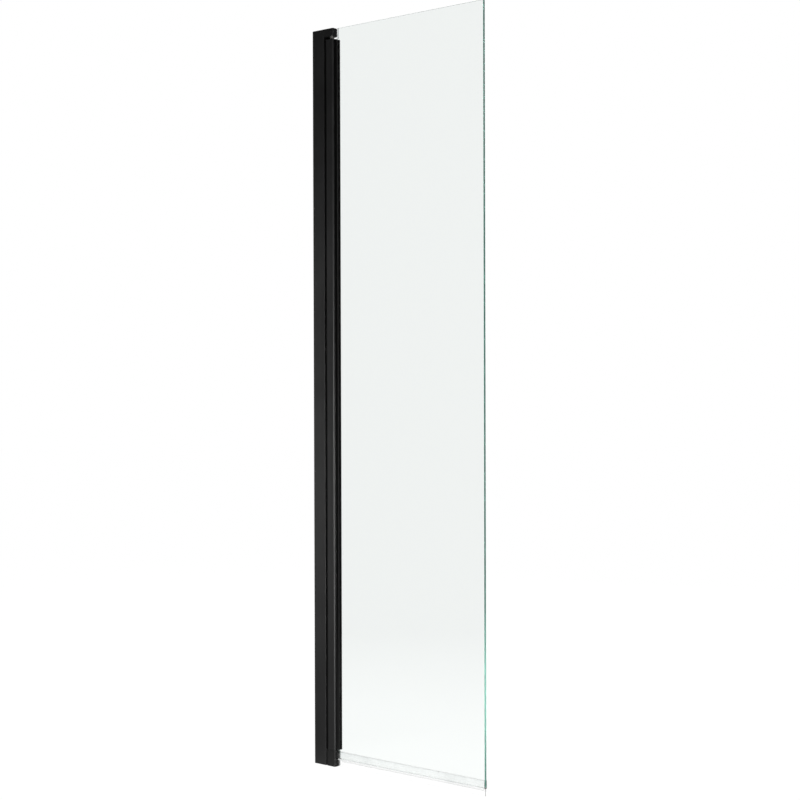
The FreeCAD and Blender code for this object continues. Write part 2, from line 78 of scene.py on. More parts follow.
class Graph:
    """A node tree with short calls that add, set and join nodes."""

    def __init__(self, tree: bpy.types.NodeTree) -> None:
        """Takes the tree and empties it."""
        self.tree = tree
        tree.nodes.clear()

    def add(self, kind: str, **settings: object) -> bpy.types.Node:
        """Adds a node.

        Args:
            kind: The node's type name.
            settings: Its properties, such as operation or data_type.

        Returns:
            The new node.
        """
        node = self.tree.nodes.new(kind)
        for name, value in settings.items():
            setattr(node, name, value)
        return node

    def feed(self, socket: bpy.types.NodeSocket, source: object) -> None:
        """Gives an input its source.

        Args:
            socket: The input.
            source: The output that it is joined to, or the value that it takes.
        """
        if isinstance(source, bpy.types.NodeSocket):
            self.tree.links.new(source, socket)
        elif isinstance(socket, bpy.types.NodeSocketColor) and len(source) == 3:
            socket.default_value = (*source, 1.0)
        else:
            socket.default_value = source

    def maths(self, operation: str, first: object, second: object = 0.0,
              clamp: bool = False) -> bpy.types.NodeSocket:
        """Adds a Math node.

        Args:
            operation: The sum to do, such as MULTIPLY.
            first: A number or a socket.
            second: A number or a socket.
            clamp: Whether the result is kept from 0 to 1.

        Returns:
            The node's output.
        """
        node = self.add("ShaderNodeMath", operation=operation, use_clamp=clamp)
        self.feed(node.inputs[0], first)
        self.feed(node.inputs[1], second)
        return node.outputs[0]

    def product(self, *factors: object) -> bpy.types.NodeSocket:
        """Multiplies numbers or sockets.

        Args:
            factors: Two or more of them.

        Returns:
            The product's socket.
        """
        result = factors[0]
        for factor in factors[1:]:
            result = self.maths("MULTIPLY", result, factor)
        return result

    def highest(self, *values: object) -> bpy.types.NodeSocket:
        """Takes the highest of numbers or sockets.

        Args:
            values: Two or more of them.

        Returns:
            The highest one's socket.
        """
        result = values[0]
        for value in values[1:]:
            result = self.maths("MAXIMUM", result, value)
        return result

    def between(self, value: object, low: float, high: float,
                out_low: object = 0.0, out_high: object = 1.0) -> bpy.types.NodeSocket:
        """Adds a clamped Map Range node.

        Args:
            value: What is mapped.
            low: The value that gives out_low.
            high: The value that gives out_high.
            out_low: The result at low.
            out_high: The result at high.

        Returns:
            The node's output.
        """
        node = self.add("ShaderNodeMapRange", clamp=True)
        for name, source in (("Value", value), ("From Min", low), ("From Max", high),
                             ("To Min", out_low), ("To Max", out_high)):
            self.feed(node.inputs[name], source)
        return node.outputs["Result"]

    def blend(self, share: object, first: object, second: object) -> bpy.types.NodeSocket:
        """Mixes two colours.

        Args:
            share: 0 for the first colour, 1 for the second.
            first: A colour or a socket.
            second: A colour or a socket.

        Returns:
            The mixed colour's socket.
        """
        node = self.add("ShaderNodeMix", data_type="RGBA", clamp_factor=True)
        self.feed(node.inputs["Factor"], share)
        self.feed(node.inputs["A"], first)
        self.feed(node.inputs["B"], second)
        return node.outputs["Result"]

    def noise(self, vector: bpy.types.NodeSocket, scale: object, detail: float = 3.0,
              roughness: float = 0.5) -> bpy.types.NodeSocket:
        """Adds a Noise Texture.

        Args:
            vector: The places that it is read at.
            scale: How fine it is.
            detail: How many finer layers it has.
            roughness: How strong those are.

        Returns:
            Its Fac output.
        """
        node = self.add("ShaderNodeTexNoise")
        for name, source in (("Vector", vector), ("Scale", scale), ("Detail", detail),
                             ("Roughness", roughness)):
            self.feed(node.inputs[name], source)
        return node.outputs["Fac"]

    def places(self, stretch: Point | None = None) -> bpy.types.NodeSocket:
        """Adds Object coordinates, in metres.

        Args:
            stretch: A scale for each axis, if they are stretched.

        Returns:
            The coordinates' socket.
        """
        coordinates = self.add("ShaderNodeTexCoord").outputs["Object"]
        if stretch is None:
            return coordinates
        mapping = self.add("ShaderNodeMapping")
        self.feed(mapping.inputs["Vector"], coordinates)
        self.feed(mapping.inputs["Scale"], stretch)
        return mapping.outputs["Vector"]

    def axes(self, vector: bpy.types.NodeSocket) -> tuple[bpy.types.NodeSocket, ...]:
        """Splits a vector.

        Args:
            vector: The vector's socket.

        Returns:
            Its X, Y and Z sockets.
        """
        node = self.add("ShaderNodeSeparateXYZ")
        self.feed(node.inputs[0], vector)
        return tuple(node.outputs)

    def bump(self, height: bpy.types.NodeSocket, distance: float,
             normal: bpy.types.NodeSocket | None = None) -> bpy.types.NodeSocket:
        """Adds a Bump node.

        Args:
            height: The height, from 0 to about 1.
            distance: How far 1 stands proud.
            normal: The normal under the bumps, if it isn't the surface's own.

        Returns:
            The bumpy normal's socket.
        """
        node = self.add("ShaderNodeBump")
        self.feed(node.inputs["Strength"], 1.0)
        self.feed(node.inputs["Distance"], distance)
        self.feed(node.inputs["Height"], height)
        if normal is not None:
            self.feed(node.inputs["Normal"], normal)
        return node.outputs["Normal"]


class Effect(Enum):
    """The shared effects, each a node group that is built once."""

    GRAIN = "fine_grain"
    DUST = "settled_dust"
    RUBBED = "rubbed_edges"
    SMEARS = "dried_smears"


@dataclass
class EffectShelf:
    """Builds each shared effect's node group on its first use and keeps it."""

    fine_ratio: float = 3.7
    patch_levels: Span = (0.35, 0.65)
    up_levels: Span = (0.35, 1.0)
    speck_levels: Span = (0.42, 0.72)
    drift_scale: float = 60.0
    drift_levels: Span = (0.3, 0.7)
    drift_least: float = 0.35
    edge_levels: Span = (0.985, 0.85)
    rub_scale: float = 220.0
    rub_levels: Span = (0.4, 0.62)
    run_stretch: Point = (1.0, 1.0, 0.035)
    run_levels: Span = (0.5, 0.72)
    wipe_stretch: Point = (1.0, 1.0, 3.2)
    wipe_scale: float = 5.0
    wipe_levels: Span = (0.38, 0.68)
    made: dict[Effect, bpy.types.NodeTree] = field(default_factory=dict)

    def place(self, graph: Graph, effect: Effect, **values: object) -> bpy.types.Node:
        """Puts an effect into a material.

        Args:
            graph: The material's nodes.
            effect: Which effect.
            values: Its inputs by name, with _ for a space.

        Returns:
            The group node, whose outputs carry the effect.
        """
        if effect not in self.made:
            self.made[effect] = self.build(effect)
        node = graph.add("ShaderNodeGroup", node_tree=self.made[effect])
        for name, value in values.items():
            graph.feed(node.inputs[name.replace("_", " ")], value)
        return node

    def build(self, effect: Effect) -> bpy.types.NodeTree:
        """Makes an effect's node group, with its sockets.

        Args:
            effect: Which effect.

        Returns:
            The group.
        """
        makers: dict[Effect, Callable[[bpy.types.NodeTree], None]] = {
            Effect.GRAIN: self.fine_grain,
            Effect.DUST: self.settled_dust,
            Effect.RUBBED: self.rubbed_edges,
            Effect.SMEARS: self.dried_smears,
        }
        tree = bpy.data.node_groups.new(effect.value, "ShaderNodeTree")
        makers[effect](tree)
        return tree

    @staticmethod
    def sockets(tree: bpy.types.NodeTree, inputs: dict[str, float],
                outputs: Sequence[str]) -> tuple[Graph, bpy.types.Node, bpy.types.Node]:
        """Gives a group its value inputs and outputs.

        Args:
            tree: The group.
            inputs: Input names with their defaults.
            outputs: Output names.

        Returns:
            The group's graph, its input node and its output node.
        """
        for name, default in inputs.items():
            socket = tree.interface.new_socket(name, in_out="INPUT", socket_type="NodeSocketFloat")
            socket.default_value = default
        for name in outputs:
            tree.interface.new_socket(name, in_out="OUTPUT", socket_type="NodeSocketFloat")
        graph = Graph(tree)
        return graph, graph.add("NodeGroupInput"), graph.add("NodeGroupOutput")

    def fine_grain(self, tree: bpy.types.NodeTree) -> None:
        """Rolling bumps with finer ones on them, and a slow unevenness over the piece.

        Args:
            tree: The empty group.
        """
        graph, given, result = self.sockets(
            tree, {"Scale": 900.0, "Fine Share": 0.35, "Patch Scale": 9.0}, ("Height", "Patches"))
        places = graph.places()
        broad = graph.noise(places, given.outputs["Scale"], 2.0)
        fine_scale = graph.product(given.outputs["Scale"], self.fine_ratio)
        fine = graph.noise(places, fine_scale, 2.0, 0.6)
        fine_part = graph.product(fine, given.outputs["Fine Share"])
        graph.feed(result.inputs["Height"], graph.maths("ADD", broad, fine_part))
        slow = graph.noise(places, given.outputs["Patch Scale"], 4.0, 0.55)
        graph.feed(result.inputs["Patches"], graph.between(slow, *self.patch_levels))

    def settled_dust(self, tree: bpy.types.NodeTree) -> None:
        """Dust on faces that look up, broken into soft specks.

        Args:
            tree: The empty group.
        """
        graph, given, result = self.sockets(tree, {"Amount": 0.3, "Speck Scale": 700.0}, ("Mask",))
        normal = graph.add("ShaderNodeNewGeometry").outputs["Normal"]
        up = graph.between(graph.axes(normal)[2], *self.up_levels)
        specks = graph.noise(graph.places(), given.outputs["Speck Scale"], 4.0, 0.65)
        drifts = graph.noise(graph.places(), self.drift_scale, 3.0)
        lying = graph.product(up, graph.between(specks, *self.speck_levels),
                              graph.between(drifts, *self.drift_levels, self.drift_least, 1.0))
        graph.feed(result.inputs["Mask"],
                   graph.maths("MULTIPLY", lying, given.outputs["Amount"], clamp=True))

    def rubbed_edges(self, tree: bpy.types.NodeTree) -> None:
        """Where an edge is near, broken up as handling breaks it.

        Args:
            tree: The empty group.
        """
        graph, given, result = self.sockets(tree, {"Reach": 0.0006, "Amount": 0.5}, ("Mask",))
        bevel = graph.add("ShaderNodeBevel", samples=4)
        graph.feed(bevel.inputs["Radius"], given.outputs["Reach"])
        level = graph.add("ShaderNodeVectorMath", operation="DOT_PRODUCT")
        graph.feed(level.inputs[0], bevel.outputs["Normal"])
        graph.feed(level.inputs[1], graph.add("ShaderNodeNewGeometry").outputs["Normal"])
        edge = graph.between(level.outputs["Value"], *self.edge_levels)
        handled = graph.noise(graph.places(), self.rub_scale, 5.0, 0.7)
        worn = graph.product(edge, graph.between(handled, *self.rub_levels))
        graph.feed(result.inputs["Mask"],
                   graph.maths("MULTIPLY", worn, given.outputs["Amount"], clamp=True))

    def dried_smears(self, tree: bpy.types.NodeTree) -> None:
        """Faint runs of dried water down an upright face, with soft wipe marks across them.

        Args:
            tree: The empty group.
        """
        graph, given, result = self.sockets(tree, {"Amount": 0.5, "Run Scale": 120.0}, ("Mask",))
        runs = graph.noise(graph.places(self.run_stretch), given.outputs["Run Scale"], 4.0, 0.6)
        wipes = graph.noise(graph.places(self.wipe_stretch), self.wipe_scale, 3.0, 0.5)
        streaks = graph.product(graph.between(runs, *self.run_levels),
                                graph.between(wipes, *self.wipe_levels))
        graph.feed(result.inputs["Mask"],
                   graph.maths("MULTIPLY", streaks, given.outputs["Amount"], clamp=True))


# ---- Finishes ----------------------------------------------------------------------------


@dataclass(frozen=True)
class Finish:
    """A finish that a maker would name, with the material slot that it stands for."""

    name: str
    slot: str

    def start(self) -> tuple[bpy.types.Material, Graph, bpy.types.Node, bpy.types.Node]:
        """Makes the empty material.

        Returns:
            The material, its graph, its Principled shader and its output node.
        """
        material = bpy.data.materials.new(self.name)
        material.use_nodes = True
        graph = Graph(material.node_tree)
        shader = graph.add("ShaderNodeBsdfPrincipled")
        output = graph.add("ShaderNodeOutputMaterial")
        graph.feed(output.inputs["Surface"], shader.outputs["BSDF"])
        return material, graph, shader, output

    def make(self, shelf: EffectShelf) -> bpy.types.Material:
        """Makes the material with the shelf's effects."""
        raise NotImplementedError


@dataclass(frozen=True)
class PaintedShade:
    """A stretch along a piece's X with painted shade: a darker colour there, and its own roughness.
    """

    start: float
    end: float
    roughness: float
    # Painted shade: the stretch's colour is darker than the coat's, where the recess lies in shade.
    colour: Colour = (0.001, 0.001, 0.001)
    fade: float = 0.1 * MM

    def mask(self, graph: Graph) -> bpy.types.NodeSocket:
        """Marks the band.

        Args:
            graph: The material's nodes.

        Returns:
            The socket of a mask that is 1 within the band and 0 outside it.
        """
        along = graph.axes(graph.places())[0]
        past_start = graph.between(along, self.start - self.fade, self.start + self.fade)
        before_end = graph.between(along, self.end - self.fade, self.end + self.fade, 1.0, 0.0)
        return graph.product(past_start, before_end)


@dataclass(frozen=True)
class CoatedFinish(Finish):
    """An opaque finish: a colour with slow unevenness, a fine grain, rubbed edges, dust and any
    stretches of painted shade.
    """

    colour: Colour
    patch_colour: Colour
    edge_colour: Colour
    dust_colour: Colour
    roughness: float
    rough_spread: float
    grain_scale: float
    grain_depth: float
    edge_amount: float
    dust_amount: float
    edge_round: float = 0.3 * MM
    rub_polish: float = 0.12
    dust_dulling: float = 0.3
    specular: float = 0.5
    metallic: float = 0.0
    subsurface: float = 0.0
    scatter_depth: float = 2.0 * MM
    fine_share: float = 0.35
    painted_shades: tuple[PaintedShade, ...] = ()

    def make(self, shelf: EffectShelf) -> bpy.types.Material:
        """Makes the material.

        Args:
            shelf: The shared effects.

        Returns:
            The material.
        """
        material, graph, shader, _ = self.start()
        grain = shelf.place(graph, Effect.GRAIN, Scale=self.grain_scale, Fine_Share=self.fine_share)
        rubbed = shelf.place(graph, Effect.RUBBED, Amount=self.edge_amount).outputs["Mask"]
        dust = shelf.place(graph, Effect.DUST, Amount=self.dust_amount).outputs["Mask"]
        patches = grain.outputs["Patches"]
        colour = graph.blend(patches, self.colour, self.patch_colour)
        colour = graph.blend(rubbed, colour, self.edge_colour)
        colour = graph.blend(dust, colour, self.dust_colour)
        rough = graph.between(patches, 0.0, 1.0, self.roughness - self.rough_spread,
                              self.roughness + self.rough_spread)
        # Painted shade: each stretch darkens the colour and gives its own roughness.
        for band in self.painted_shades:
            mask = band.mask(graph)
            colour = graph.blend(mask, colour, band.colour)
            rough = graph.between(mask, 0.0, 1.0, rough, band.roughness)
        rough = graph.maths("SUBTRACT", rough, graph.product(rubbed, self.rub_polish))
        rough = graph.maths("ADD", rough, graph.product(dust, self.dust_dulling), clamp=True)
        bevel = graph.add("ShaderNodeBevel", samples=4)
        graph.feed(bevel.inputs["Radius"], self.edge_round)
        normal = graph.bump(grain.outputs["Height"], self.grain_depth, bevel.outputs["Normal"])
        graph.feed(shader.inputs["Base Color"], colour)
        graph.feed(shader.inputs["Roughness"], rough)
        graph.feed(shader.inputs["Normal"], normal)
        graph.feed(shader.inputs["Metallic"], self.metallic)
        graph.feed(shader.inputs["Specular IOR Level"], self.specular)
        if self.subsurface > 0.0:
            graph.feed(shader.inputs["Subsurface Weight"], self.subsurface)
            graph.feed(shader.inputs["Subsurface Scale"], self.scatter_depth)
        return material


@dataclass(frozen=True)
class TurnedSteelFinish(Finish):
    """Bright bar turned to size: rings round the axis, with a trace of grease."""

    colour: Colour = (0.62, 0.61, 0.59)
    greased: Colour = (0.46, 0.44, 0.39)
    grease_levels: Span = (0.45, 0.9)
    ring_stretch: Point = (0.02, 0.02, 1.0)
    ring_scale: float = 900.0
    ring_levels: Span = (0.3, 0.7)
    ring_depth: float = 0.012 * MM
    roughness: Span = (0.2, 0.38)

    def make(self, shelf: EffectShelf) -> bpy.types.Material:
        """Makes the material.

        Args:
            shelf: The shared effects.

        Returns:
            The material.
        """
        material, graph, shader, _ = self.start()
        rings = graph.noise(graph.places(self.ring_stretch), self.ring_scale, 3.0, 0.7)
        grain = shelf.place(graph, Effect.GRAIN, Scale=260.0, Patch_Scale=70.0)
        grease = graph.between(grain.outputs["Patches"], *self.grease_levels)
        graph.feed(shader.inputs["Base Color"], graph.blend(grease, self.colour, self.greased))
        graph.feed(shader.inputs["Metallic"], 1.0)
        rough = graph.between(rings, *self.ring_levels, *self.roughness)
        graph.feed(shader.inputs["Roughness"], rough)
        graph.feed(shader.inputs["Normal"], graph.bump(rings, self.ring_depth))
        return material


@dataclass(frozen=True)
class GlassFinish(Finish):
    """Clear float glass: faintly green by its own depth, with the least of smears."""

    depth_colour: Colour = (0.30, 0.85, 0.66)
    depth_density: float = 9.0
    face_tint: Colour = (0.944, 0.943, 0.941)
    smear_tint: Colour = (0.925, 0.927, 0.925)
    smear_amount: float = 0.25
    ior: float = 1.52
    roughness: float = 0.0

    def make(self, shelf: EffectShelf) -> bpy.types.Material:
        """Makes the material.

        Args:
            shelf: The shared effects.

        Returns:
            The material.
        """
        material, graph, shader, output = self.start()
        smears = shelf.place(graph, Effect.SMEARS, Amount=self.smear_amount)
        graph.feed(shader.inputs["Base Color"],
                   graph.blend(smears.outputs["Mask"], self.face_tint, self.smear_tint))
        graph.feed(shader.inputs["Roughness"], self.roughness)
        graph.feed(shader.inputs["IOR"], self.ior)
        graph.feed(shader.inputs["Transmission Weight"], 1.0)
        body = graph.add("ShaderNodeVolumeAbsorption")
        graph.feed(body.inputs["Color"], self.depth_colour)
        graph.feed(body.inputs["Density"], self.depth_density)
        graph.feed(output.inputs["Volume"], body.outputs["Volume"])
        self.work(graph, shader)
        return material

    def work(self, graph: Graph, shader: bpy.types.Node) -> None:
        """Works the surface with a wheel, which clear float glass goes without."""


@dataclass(frozen=True)
class WorkedEdgeFinish(GlassFinish):
    """An edge of the pane: green by the depth behind it, and faintly frosted by the wheel."""

    frosting: float = 0.5
    line_scale: float = 1500.0
    line_depth: float = 0.004 * MM

    def work(self, graph: Graph, shader: bpy.types.Node) -> None:
        """Frosts the surface and gives it the wheel's fine lines.

        Args:
            graph: The material's nodes.
            shader: Its Principled shader.
        """
        graph.feed(shader.inputs["Transmission Weight"], 1.0 - self.frosting)
        lines = graph.noise(graph.places(), self.line_scale, 2.0)
        graph.feed(shader.inputs["Normal"], graph.bump(lines, self.line_depth))


@dataclass(frozen=True)
class ClearSealFinish(Finish):
    """Flexible clear strip: slightly milky, with the die's lines along its length."""

    colour: Colour = (0.99, 0.992, 0.992)
    milky: Colour = (0.965, 0.97, 0.97)
    roughness: Span = (0.03, 0.13)
    ior: float = 1.5
    die_stretch: Point = (0.01, 1.0, 1.0)
    die_scale: float = 1400.0
    line_depth: float = 0.008 * MM

    def make(self, shelf: EffectShelf) -> bpy.types.Material:
        """Makes the material.

        Args:
            shelf: The shared effects.

        Returns:
            The material.
        """
        material, graph, shader, _ = self.start()
        die_lines = graph.noise(graph.places(self.die_stretch), self.die_scale, 2.0, 0.6)
        grain = shelf.place(graph, Effect.GRAIN, Scale=420.0, Patch_Scale=26.0)
        patches = grain.outputs["Patches"]
        graph.feed(shader.inputs["Base Color"], graph.blend(patches, self.colour, self.milky))
        graph.feed(shader.inputs["Roughness"], graph.between(patches, 0.0, 1.0, *self.roughness))
        graph.feed(shader.inputs["IOR"], self.ior)
        graph.feed(shader.inputs["Transmission Weight"], 1.0)
        graph.feed(shader.inputs["Normal"], graph.bump(die_lines, self.line_depth))
        return material


@dataclass
class FinishShelf:
    """Makes each finish's material once and hands it out."""

    effects: EffectShelf = field(default_factory=EffectShelf)
    made: dict[str, bpy.types.Material] = field(default_factory=dict)

    def material(self, finish: Finish) -> bpy.types.Material:
        """Looks up or makes the material of a finish.

        Args:
            finish: The finish.

        Returns:
            Its material.
        """
        if finish.name not in self.made:
            self.made[finish.name] = finish.make(self.effects)
        return self.made[finish.name]

    def dress(self, piece: bpy.types.Object, *finishes: Finish) -> None:
        """Gives a piece its materials.

        Args:
            piece: The piece.
            finishes: Its finishes, in the order of its faces' indices.
        """
        while len(piece.material_slots) < len(finishes):
            piece.data.materials.append(None)
        for slot, finish in zip(piece.material_slots, finishes, strict=False):
            slot.material = self.material(finish)


POWDER_COAT = CoatedFinish(
    name="black_powder_coat", slot="black_coat",
    colour=(0.0045, 0.0045, 0.0046), patch_colour=(0.0065, 0.0065, 0.0066),
    edge_colour=(0.045, 0.045, 0.045), dust_colour=(0.11, 0.108, 0.104),
    roughness=0.4, rough_spread=0.03, grain_scale=1100.0, grain_depth=0.03 * MM,
    edge_amount=0.35, dust_amount=0.22)

# The slide's black anodising, coloured darker than the powder coat so that the groove where it
# shows is dark: partly painted shade.
SLIDE_BLACK_AND_GROOVE_SHADE = CoatedFinish(
    name="anodised_slide_and_groove_shade", slot="black_coat",
    colour=(0.0015, 0.0015, 0.0015), patch_colour=(0.0025, 0.0025, 0.0025),
    edge_colour=(0.015, 0.015, 0.015), dust_colour=(0.08, 0.078, 0.074),
    roughness=0.3, rough_spread=0.04, grain_scale=2200.0, grain_depth=0.01 * MM,
    edge_amount=0.1, dust_amount=0.2, specular=0.04)

MOULDED_BLACK = CoatedFinish(
    name="moulded_black_plastic", slot="black_plastic",
    colour=(0.0035, 0.0035, 0.0036), patch_colour=(0.0055, 0.0055, 0.0055),
    edge_colour=(0.04, 0.04, 0.04), dust_colour=(0.12, 0.118, 0.112),
    roughness=0.5, rough_spread=0.04, grain_scale=2600.0, grain_depth=0.04 * MM,
    edge_amount=0.3, dust_amount=0.22, fine_share=0.6, specular=0.33)

BLACK_RUBBER = CoatedFinish(
    name="black_rubber", slot="black_rubber",
    colour=(0.003, 0.003, 0.003), patch_colour=(0.006, 0.006, 0.006),
    edge_colour=(0.012, 0.012, 0.012), dust_colour=(0.12, 0.117, 0.11),
    roughness=0.62, rough_spread=0.06, grain_scale=1700.0, grain_depth=0.03 * MM,
    edge_amount=0.2, dust_amount=0.3, specular=0.15)

BLACK_SCREW = CoatedFinish(
    name="black_oxide_screw", slot="black_screws",
    colour=(0.016, 0.016, 0.017), patch_colour=(0.028, 0.027, 0.027),
    edge_colour=(0.24, 0.23, 0.22), dust_colour=(0.12, 0.118, 0.11),
    roughness=0.36, rough_spread=0.07, grain_scale=3200.0, grain_depth=0.01 * MM,
    edge_amount=0.55, dust_amount=0.15, metallic=0.55, edge_round=0.15 * MM)

BEARING_WHITE = CoatedFinish(
    name="natural_bearing_plastic", slot="bearing_plastic",
    colour=(0.74, 0.73, 0.69), patch_colour=(0.67, 0.655, 0.61),
    edge_colour=(0.80, 0.79, 0.76), dust_colour=(0.5, 0.48, 0.44),
    roughness=0.38, rough_spread=0.06, grain_scale=700.0, grain_depth=0.02 * MM,
    edge_amount=0.2, dust_amount=0.1, subsurface=0.15)

TURNED_STEEL = TurnedSteelFinish(name="turned_steel", slot="steel")
FLOAT_GLASS = GlassFinish(name="clear_float_glass", slot="clear_glass")
GROUND_EDGE = WorkedEdgeFinish(
    name="ground_glass_edge", slot="clear_glass", roughness=0.35, frosting=0.45,
    face_tint=(0.36, 0.86, 0.70), smear_tint=(0.32, 0.79, 0.64))
POLISHED_EDGE = WorkedEdgeFinish(
    name="polished_glass_edge", slot="clear_glass", roughness=0.1, frosting=0.16,
    face_tint=(0.42, 0.80, 0.68), smear_tint=(0.38, 0.75, 0.63))
# Painted shade: the notch edges, beside the hinge blocks and inside the profile, are tinted nearly
# black.
PAINTED_SHADE_NOTCHES = WorkedEdgeFinish(
    name="dull_notches_painted_shade", slot="clear_glass", roughness=0.45, frosting=0.5,
    face_tint=(0.05, 0.09, 0.075), smear_tint=(0.045, 0.08, 0.07))
CLEAR_SEAL = ClearSealFinish(name="clear_flexible_strip", slot="clear_seal")


# ---- Meshes ------------------------------------------------------------------------------


def rounded(corners: Sequence[Corner], steps: int = 6) -> list[tuple[float, float]]:
    """Points of a closed outline whose corners are rounded by tangent arcs.

    Args:
        corners: (a, b, radius) of each corner, in order.
        steps: Runs in each arc.

    Returns:
        The outline's points, in the corners' order.
    """
    points = []
    for i, (a, b, radius) in enumerate(corners):
        here = Vector((a, b))
        if radius <= 0.0:
            points.append((a, b))
            continue
        back = (Vector(corners[i - 1][:2]) - here).normalized()
        ahead = (Vector(corners[(i + 1) % len(corners)][:2]) - here).normalized()
        half = back.angle(ahead) / 2.0
        centre = here + (back + ahead).normalized() * (radius / math.sin(half))
        run = radius / math.tan(half)
        start = here + back * run - centre
        end = here + ahead * run - centre
        turn = start.angle_signed(end)
        for step in range(steps + 1):
            spoke = start.copy()
            spoke.rotate(Matrix.Rotation(-turn * step / steps, 2))
            points.append(tuple(centre + spoke))
    return points


def loft_sides(work: bmesh.types.BMesh, loops: Sequence[Sequence[bmesh.types.BMVert]]) -> None:
    """Makes the skin through loops of as many vertices each, open at both ends.

    Args:
        work: The bmesh that holds them.
        loops: The loops, from end to end.
    """
    for first, second in zip(loops, loops[1:]):
        for i, vertex in enumerate(first):
            following = (i + 1) % len(first)
            work.faces.new((vertex, first[following], second[following], second[i]))


def new_piece(name: str, mesh_maker: Callable[[bmesh.types.BMesh], None],
              smooth_degrees: float = 32.0) -> bpy.types.Object:
    """Makes an object from a function that fills a bmesh.

    Args:
        name: The piece's name.
        mesh_maker: Fills the bmesh it is given.
        smooth_degrees: Faces that meet at less than this are shaded as one surface.

    Returns:
        The object, linked to the scene.
    """
    work = bmesh.new()
    mesh_maker(work)
    bmesh.ops.recalc_face_normals(work, faces=work.faces)
    sharp = math.radians(smooth_degrees)
    for edge in work.edges:
        edge.smooth = not edge.is_manifold or edge.calc_face_angle(0.0) < sharp
    for face in work.faces:
        face.smooth = True
    mesh = bpy.data.meshes.new(name)
    work.to_mesh(mesh)
    work.free()
    piece = bpy.data.objects.new(name, mesh)
    bpy.context.scene.collection.objects.link(piece)
    return piece


# ---- Sub-assemblies ----------------------------------------------------------------------


@dataclass
class SubAssembly:
    """Pieces that belong together, with the finishes that they take."""

    finishes: FinishShelf
    nodes: dict[str, bpy.types.Object]
    pieces: list[bpy.types.Object] = field(default_factory=list)

    def finish_nodes(self, plan: dict[str, Finish]) -> None:
        """Dresses the frame's own nodes.

        Args:
            plan: The finish of each node, by the node's name.
        """
        for name, finish in plan.items():
            node = self.nodes[name]
            self.finishes.dress(node, finish)
            self.pieces.append(node)

    def build(self) -> None:
        """Makes and dresses the pieces."""
        raise NotImplementedError


@dataclass
class WallFrame(SubAssembly):
    """What is fixed to the wall: channel, sliding profile, covers and hinge blocks."""

    def build(self) -> None:
        """Dresses the fixed pieces."""
        self.finish_nodes({
            "wall_profile": POWDER_COAT,
            "inner_profile": SLIDE_BLACK_AND_GROOVE_SHADE,
            "adjuster_screws": BLACK_SCREW,
            "top_cover": MOULDED_BLACK,
            "bottom_cover": MOULDED_BLACK,
            "top_hinge_block": MOULDED_BLACK,
            "bottom_hinge_block": MOULDED_BLACK,
            "top_block_screws": TURNED_STEEL,
            "bottom_block_screws": TURNED_STEEL,
            "bottom_pin": TURNED_STEEL,
            "fixed_cam": BEARING_WHITE,
        })


@dataclass
class LiftGlide(SubAssembly):
    """The bush that rises with the screen but doesn't turn."""

    def build(self) -> None:
        """Dresses the bush."""
        self.finish_nodes({"glide_bush": BEARING_WHITE})


@dataclass
class TurningFrame(SubAssembly):
    """The profile that holds the glass, with its plugs, pin, cam, gasket and screws."""

    # Stretches of painted shade on the turning profile: the corner in the groove and the lips are
    # coloured darker, with these roughnesses; the lips' rims too, rougher still.
    groove_corner: float = 1.6 * MM
    groove_roughness: float = 0.22
    lip_roughness: float = 0.25
    rim_width: float = 0.8 * MM
    rim_roughness: float = 0.8

    def build(self) -> None:
        """Dresses the turning pieces."""
        # Painted shade on the turning profile's coat: darker in the groove's corner and on the
        # lips.
        coat_with_painted_shade = replace(POWDER_COAT, name="black_powder_coat_painted_shade", painted_shades=self.painted_shade_stretches())
        self.finish_nodes({
            "turning_profile": coat_with_painted_shade,
            "glazing_gasket": BLACK_RUBBER,
            "clamp_screws": BLACK_SCREW,
            "top_end_plug": MOULDED_BLACK,
            "bottom_end_plug": MOULDED_BLACK,
            "top_pin": TURNED_STEEL,
            "riser_cam": BEARING_WHITE,
        })

    def painted_shade_stretches(self) -> tuple[PaintedShade, ...]:
        """Finds where shade is painted on the turning profile: the recesses that lie in shade are
        darkened.

        Returns:
            The stretches of painted shade: the corner in the groove, the lips and the lips' rims.
        """
        shift = self.nodes["turning_profile"].matrix_world.translation.x
        back, rim = (corner.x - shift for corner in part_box("turning_profile"))
        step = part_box("top_end_plug")[1].x - shift
        pin_low, pin_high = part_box("top_pin")
        groove = pin_low.x + pin_high.x - 2.0 * shift - step
        return (PaintedShade(back - MM, groove + self.groove_corner, self.groove_roughness),
                PaintedShade(step, rim - self.rim_width, self.lip_roughness),
                PaintedShade(rim - self.rim_width, rim + MM, self.rim_roughness))


class PaneSide(IntEnum):
    """The sides of the pane, each numbered as the slot of its finish."""

    FACES = 0
    FREE_EDGE = 1
    LEVEL_EDGES = 2
    NOTCHES = 3


